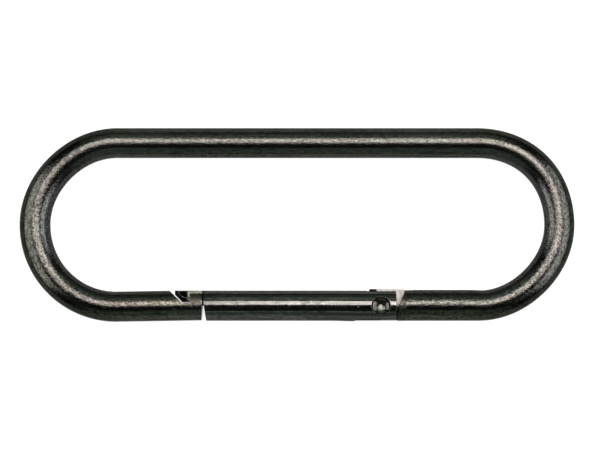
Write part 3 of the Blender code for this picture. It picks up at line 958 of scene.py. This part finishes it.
linkBar = makeLink()
gateRod = makeGate()
rivetPin = makeRivet()
plungerPin = makePlunger()
coilSpring = makeSpring()
for piece in (linkBar, gateRod, rivetPin):
    addBarSpace(piece)
linkSteel = blackSteel("link_black", linkFinish)
gateSteel = blackSteel("gate_black", gateFinish)
rivetSteel = blackSteel("rivet_black", rivetFinish)
tangSteel = tangFlatSteel()
neckSteel = neckFlatSteel()
springSteel = bareSteel("spring_wire", springFinish)
wear(linkBar, [linkSteel, tangSteel], [onTangFlat])
wear(gateRod, [gateSteel, neckSteel], [onNeckFlat])
wear(rivetPin, [rivetSteel], [])
wear(plungerPin, [springSteel], [])
wear(coilSpring, [springSteel], [])
joinFrame(linkBar, "link", "link_body")
joinFrame(gateRod, "gate", "gate")
joinFrame(rivetPin, "gate", "hinge_rivet")
joinFrame(plungerPin, "plunger", "spring_plunger")
joinFrame(coilSpring, "gate", "closing_spring")
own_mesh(coilSpring)

studio = {
    "floor": 0.15,
    "glow": 0.9,
    "floorZ": -0.1 * mm,
    "floorHalf": 3.0,
    "world": 0.1,
    "worldTint": (0.85, 1, 0.86, 1),
    "lens": 135,
    "viewWidth": 162.5 * mm,
    "viewCentre": Vector((0.76 * mm, -0.245 * mm, axisZ)),
    "viewTilt": math.radians(5),  # the camera leans to the front
}
# the walls of a small light tent whose front top is open; centre, size and the way each faces, in metres
tent = {
    "left": {"at": (-0.21, 0.0, 0.155), "size": (0.24, 0.23), "faces": (1, 0, 0), "radiance": 6.6},
    "right": {"at": (0.20, 0.0, 0.145), "size": (0.24, 0.21), "faces": (-1, 0, 0), "radiance": 7.0},
    "back_high": {"at": (0.0, 0.29, 0.285), "size": (0.36, 0.23), "faces": (0, -1, 0), "radiance": 1.05},
    "back_low": {"at": (0.0, 0.29, 0.085), "size": (0.36, 0.17), "faces": (0, -1, 0), "radiance": 0.32},
    "front_high": {"at": (0.0, -0.30, 0.255), "size": (0.40, 0.05), "faces": (0, 1, 0), "radiance": 1.3},
    "front_middle": {"at": (0.0, -0.30, 0.16), "size": (0.40, 0.14), "faces": (0, 1, 0), "radiance": 0.45},
    "front_low": {"at": (0.0, -0.30, 0.045), "size": (0.40, 0.09), "faces": (0, 1, 0), "radiance": 0.9},
}
top = {
    "from": -0.19,
    "to": 0.20,
    "strips": 4,
    "y": 0.1075,
    "z": 0.40,
    "along": 0.205,
    "radiance": (12.0, 16.0),
}
for strip in range(top["strips"]):
    width = (top["to"] - top["from"]) / top["strips"]
    share = strip / (top["strips"] - 1)
    tent[f"top_{strip + 1}"] = {
        "at": (top["from"] + (strip + 0.5) * width, top["y"], top["z"]),
        "size": (width, top["along"]),
        "faces": (0, 0, -1),
        "radiance": top["radiance"][0] * (1 - share) + top["radiance"][1] * share,
    }
tint = {
    "top": (1.0, 0.965, 0.915),
    "left": (1.0, 1.0, 0.95),
    "right": (0.97, 1.0, 1.03),
    "back": (0.83, 1.06, 0.85),
    "front": (0.83, 1.06, 0.84),
}


def makeFloor():
    mesh = bpy.data.meshes.new("floor")
    half = studio["floorHalf"]
    corners = [(-half, -half), (half, -half), (half, half), (-half, half)]
    mesh.from_pydata([(x, y, studio["floorZ"]) for x, y in corners], [], [(0, 1, 2, 3)])
    floor = bpy.data.objects.new("floor", mesh)
    bpy.context.scene.collection.objects.link(floor)
    n = Nodes("pale_floor")
    n.shader.inputs["Base Color"].default_value = (studio["floor"],) * 3 + (1,)
    n.shader.inputs["Roughness"].default_value = 0.9
    n.shader.inputs["Specular IOR Level"].default_value = 0.1
    n.shader.inputs["Emission Color"].default_value = (1, 1, 1, 1)
    n.shader.inputs["Emission Strength"].default_value = studio["glow"]
    mesh.materials.append(n.material)


def makeWall(name, wall):
    # a glowing rectangle; its first size runs level, its second one upwards or, on the top, to the back
    data = bpy.data.lights.new(name, "AREA")
    data.shape = "RECTANGLE"
    data.size, data.size_y = wall["size"]
    data.energy = wall["radiance"] * math.pi * data.size * data.size_y
    data.color = tint[name.split("_")[0]]
    lamp = bpy.data.objects.new(name, data)
    away = -Vector(wall["faces"])
    up = Vector((0, 1, 0)) if away.z else Vector((0, 0, 1))
    lamp.matrix_world = Matrix((up.cross(away), up, away)).transposed().to_4x4()
    lamp.location = wall["at"]
    bpy.context.scene.collection.objects.link(lamp)


makeFloor()
for name, wall in tent.items():
    makeWall(name, wall)
world = bpy.data.worlds.new("studio")
bpy.context.scene.world = world
world.use_nodes = True
world.node_tree.nodes["Background"].inputs["Color"].default_value = studio["worldTint"]
world.node_tree.nodes["Background"].inputs["Strength"].default_value = studio["world"]
bpy.context.scene.view_settings.view_transform = "Standard"

cameraData = bpy.data.cameras.new("camera")
camera = bpy.data.objects.new("camera", cameraData)
bpy.context.scene.collection.objects.link(camera)
cameraData.lens = studio["lens"]
cameraData.sensor_width = 36
viewDistance = studio["viewWidth"] * studio["lens"] / cameraData.sensor_width
viewFrom = Vector((0.0, -math.sin(studio["viewTilt"]), math.cos(studio["viewTilt"])))
camera.location = studio["viewCentre"] + viewDistance * viewFrom
camera.rotation_euler = (studio["viewTilt"], 0.0, 0.0)
bpy.context.scene.camera = camera
print("studio:", len(tent), "walls, camera", round(viewDistance, 3), "m away")
